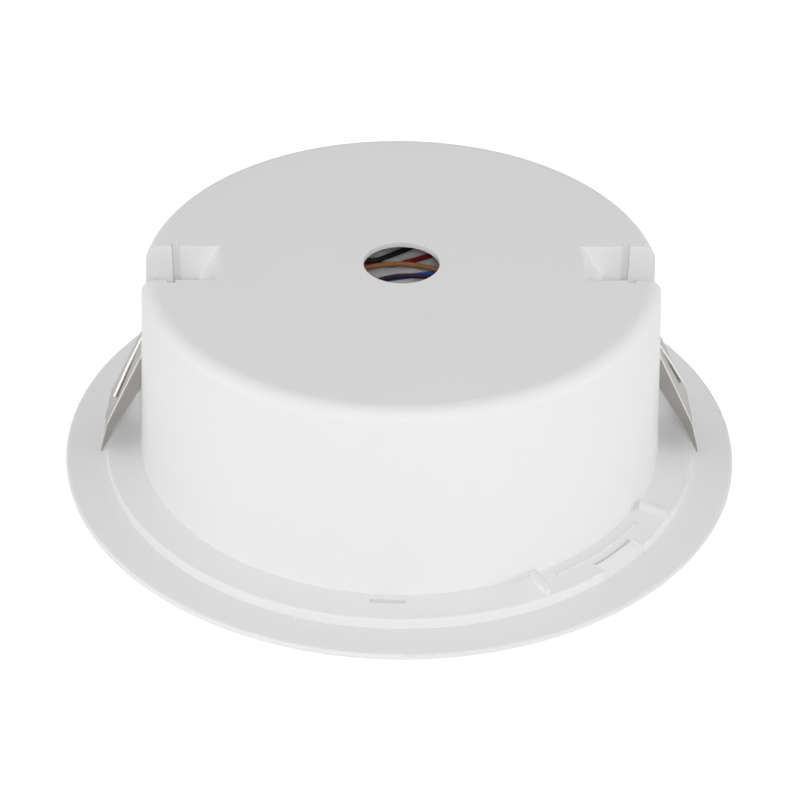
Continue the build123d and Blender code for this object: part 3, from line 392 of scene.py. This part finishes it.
def wire(name, points, material):
    """A round wire along a smooth line through a row of control points."""
    line = bpy.data.curves.new(name, "CURVE")
    line.dimensions = "3D"
    line.bevel_depth = SPRING_WIRE_RADIUS
    line.bevel_resolution = SPRING_WIRE_ROUNDING
    line.resolution_u = SPRING_WIRE_STEPS
    line.use_fill_caps = True
    spline = line.splines.new("NURBS")
    spline.points.add(len(points) - 1)
    for control, point in zip(spline.points, points):
        control.co = (*point, 1.0)
    spline.order_u = 3
    spline.use_endpoint_u = True
    drawn = bpy.data.objects.new(name, line)
    bpy.context.collection.objects.link(drawn)
    bpy.context.view_layer.update()
    mesh = bpy.data.meshes.new_from_object(drawn.evaluated_get(bpy.context.evaluated_depsgraph_get()))
    bpy.data.objects.remove(drawn)
    made = bpy.data.objects.new(name, mesh)
    mesh.materials.clear()
    mesh.materials.append(material)
    for face in mesh.polygons:
        face.use_smooth = True
    bpy.context.collection.objects.link(made)
    return made


def coil_points():
    """Wall leg and close-wound turns about the pin, from its far end to its near end."""
    step = 360.0 / SPRING_POINTS_PER_TURN
    reach = SPRING_COIL_RADIUS / math.cos(math.radians(step / 2))
    turns = 2 * SPRING_COIL_HALF / SPRING_PITCH
    first = math.radians(SPRING_FIRST_ANGLE)
    wrap = (SPRING_FIRST_ANGLE - SPRING_LAST_ANGLE) % 360.0 + 360.0 * round(turns - 1)
    count = round(wrap / step)
    points = [SPRING_WALL_FOOT + Vector((0.0, SPRING_COIL_HALF, 0.0))]
    for index in range(count + 1):
        share = index / count
        angle = first - math.radians(wrap) * share
        y = SPRING_COIL_HALF * (1 - 2 * share)
        points.append(Vector((reach * math.cos(angle), y, reach * math.sin(angle))))
    return points


def leg_points(start):
    """Leg from the coil's near end, over the arm's web and across it."""
    slope = math.radians(ARM_SLOPE)
    down = Vector((math.cos(slope), 0.0, -math.sin(slope)))
    out = Vector((math.sin(slope), 0.0, math.cos(slope)))
    near = Vector((0.0, -SPRING_COIL_HALF, 0.0))
    far = Vector((0.0, SPRING_LEG_FAR, 0.0))
    bend = out * SPRING_LEG_OUT + down * SPRING_LEG_BEND + near
    end = out * SPRING_LEG_OUT + down * SPRING_LEG_END + far
    return [start, bend, end]


def make_springs(material):
    """Wound springs in place of the plain sleeves: the coil and its wall leg stay in place, and the arm leg
    is attached to the clip.
    """
    for side, turn in (("right", 0.0), ("left", 180.0)):
        low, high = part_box(f"clip_pin_{side}")
        centre = (Vector(low) + Vector(high)) / 2
        points = coil_points()
        coil = wire(f"spring_coil_{side}", points, material)
        leg = wire(f"spring_leg_{side}", leg_points(points[-1]), material)
        place = Matrix.Translation(centre) @ Matrix.Rotation(math.radians(turn), 4, "Z")
        for piece in (coil, leg):
            piece.data.transform(place)
            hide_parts(f"clip_spring_{side}")
        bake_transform(coil)
        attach(leg, f"clip_{side}")


def keep_sector(shape, middle, half):
    """Keeps what lies within half an angle of the middle direction about the axis, closed at both cuts."""
    for side in (1.0, -1.0):
        edge = middle + side * half
        outward = Vector((-math.sin(edge), math.cos(edge), 0.0)) * side
        whole = shape.verts[:] + shape.edges[:] + shape.faces[:]
        cut = bmesh.ops.bisect_plane(
            shape, geom=whole, dist=CUT_MARGIN, plane_co=(0.0, 0.0, 0.0), plane_no=outward, clear_outer=True
        )
        rim = [item for item in cut["geom_cut"] if isinstance(item, bmesh.types.BMEdge)]
        bmesh.ops.holes_fill(shape, edges=rim, sides=0)


def soft_copy(node, name, material, sector=None):
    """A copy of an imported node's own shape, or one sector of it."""
    shape = bmesh.new()
    shape.from_mesh(frame["nodes"][node].data)
    bmesh.ops.remove_doubles(shape, verts=shape.verts, dist=CUT_MARGIN)
    if sector is not None:
        keep_sector(shape, *sector)
    mesh = bpy.data.meshes.new(name)
    shape.to_mesh(mesh)
    shape.free()
    mesh.shade_smooth()
    mesh.set_sharp_from_angle(angle=math.radians(SMOOTH_ANGLE))
    mesh.materials.append(material)
    made = bpy.data.objects.new(name, mesh)
    bpy.context.collection.objects.link(made)
    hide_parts(node)
    return made


def make_soft_parts(materials):
    """Copies of the surround, spider and tinsel leads; the rings are cut into equal sectors."""
    slots = node_slots()
    half = math.pi / RING_SECTORS
    for node, (held, free) in RING_ENDS.items():
        for index in range(RING_SECTORS):
            middle = 2.0 * half * index
            name = f"{node}_sector_{index + 1}"
            piece = soft_copy(node, name, materials[slots[node]], (middle, half))
            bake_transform(piece)
    leads = soft_copy("tinsel_leads", "tinsel_leads_soft", materials[slots["tinsel_leads"]])
    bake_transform(leads)


def seen_rays(tree):
    """One for camera, glossy and transmission rays, so that the eye and its reflections see white."""
    path = tree.nodes.new("ShaderNodeLightPath")
    total = path.outputs["Is Camera Ray"]
    for kind in ("Is Glossy Ray", "Is Transmission Ray"):
        larger = tree.nodes.new("ShaderNodeMath")
        larger.operation = "MAXIMUM"
        tree.links.new(total, larger.inputs[0])
        tree.links.new(path.outputs[kind], larger.inputs[1])
        total = larger.outputs["Value"]
    return total


def make_world():
    """Even studio light, in front of plain white."""
    world = bpy.data.worlds.new("studio")
    bpy.context.scene.world = world
    world.use_nodes = True
    tree = world.node_tree
    light = tree.nodes["Background"]
    light.inputs["Strength"].default_value = SKY_LIGHT
    light.inputs["Color"].default_value = WHITE
    seen = tree.nodes.new("ShaderNodeBackground")
    seen.inputs["Color"].default_value = WHITE
    mix = tree.nodes.new("ShaderNodeMixShader")
    tree.links.new(seen_rays(tree), mix.inputs["Fac"])
    tree.links.new(light.outputs["Background"], mix.inputs[1])
    tree.links.new(seen.outputs["Background"], mix.inputs[2])
    tree.links.new(mix.outputs["Shader"], tree.nodes["World Output"].inputs["Surface"])


def make_floor():
    """A pale floor that keeps the shadow and comes up to white where nothing shades it."""
    height = cad_box[0][2] - FLOOR_DROP
    bpy.ops.mesh.primitive_plane_add(size=2.0 * FLOOR_HALF_WIDTH, location=(0.0, 0.0, height))
    floor = bpy.context.object
    floor.name = "floor"
    material = bpy.data.materials.new("floor_white")
    material.use_nodes = True
    tree = material.node_tree
    matt = tree.nodes.new("ShaderNodeBsdfDiffuse")
    matt.inputs["Color"].default_value = FLOOR_COLOUR
    glow = tree.nodes.new("ShaderNodeEmission")
    glow.inputs["Color"].default_value = WHITE
    strength = tree.nodes.new("ShaderNodeMath")
    strength.operation = "MULTIPLY"
    strength.inputs[1].default_value = FLOOR_GLOW
    tree.links.new(seen_rays(tree), strength.inputs[0])
    tree.links.new(strength.outputs["Value"], glow.inputs["Strength"])
    both = tree.nodes.new("ShaderNodeAddShader")
    tree.links.new(matt.outputs["BSDF"], both.inputs[0])
    tree.links.new(glow.outputs["Emission"], both.inputs[1])
    tree.links.new(both.outputs["Shader"], tree.nodes["Material Output"].inputs["Surface"])
    floor.data.materials.append(material)


def make_soft_boxes():
    """Soft boxes above the camera and at both sides, aimed at the part."""
    for name, (place, width, height, power) in SOFT_BOXES.items():
        light = bpy.data.lights.new(name, "AREA")
        light.energy = power
        light.shape = "RECTANGLE"
        light.size = width
        light.size_y = height
        placed = bpy.data.objects.new(name, light)
        placed.location = place
        placed.rotation_euler = (-place).to_track_quat("-Z", "Y").to_euler()
        bpy.context.collection.objects.link(placed)


def make_camera():
    """The photograph's own viewpoint."""
    lens = bpy.data.cameras.new("photo_camera")
    lens.lens = CAMERA_LENS
    lens.sensor_width = CAMERA_SENSOR
    camera = bpy.data.objects.new("photo_camera", lens)
    turn = Matrix.Rotation(math.radians(CAMERA_TURN), 4, "Z")
    tilt = Matrix.Rotation(math.radians(90.0 - CAMERA_PITCH), 4, "X")
    roll = Matrix.Rotation(math.radians(CAMERA_ROLL), 4, "Z")
    camera.matrix_world = turn @ Matrix.Translation(CAMERA_PLACE) @ tilt @ roll
    bpy.context.collection.objects.link(camera)
    bpy.context.scene.camera = camera


bpy.context.scene.view_settings.view_transform = "Standard"
materials = make_materials()
dress_nodes(materials)
make_springs(materials["spring_steel"])
make_soft_parts(materials)
make_world()
make_floor()
make_soft_boxes()
make_camera()
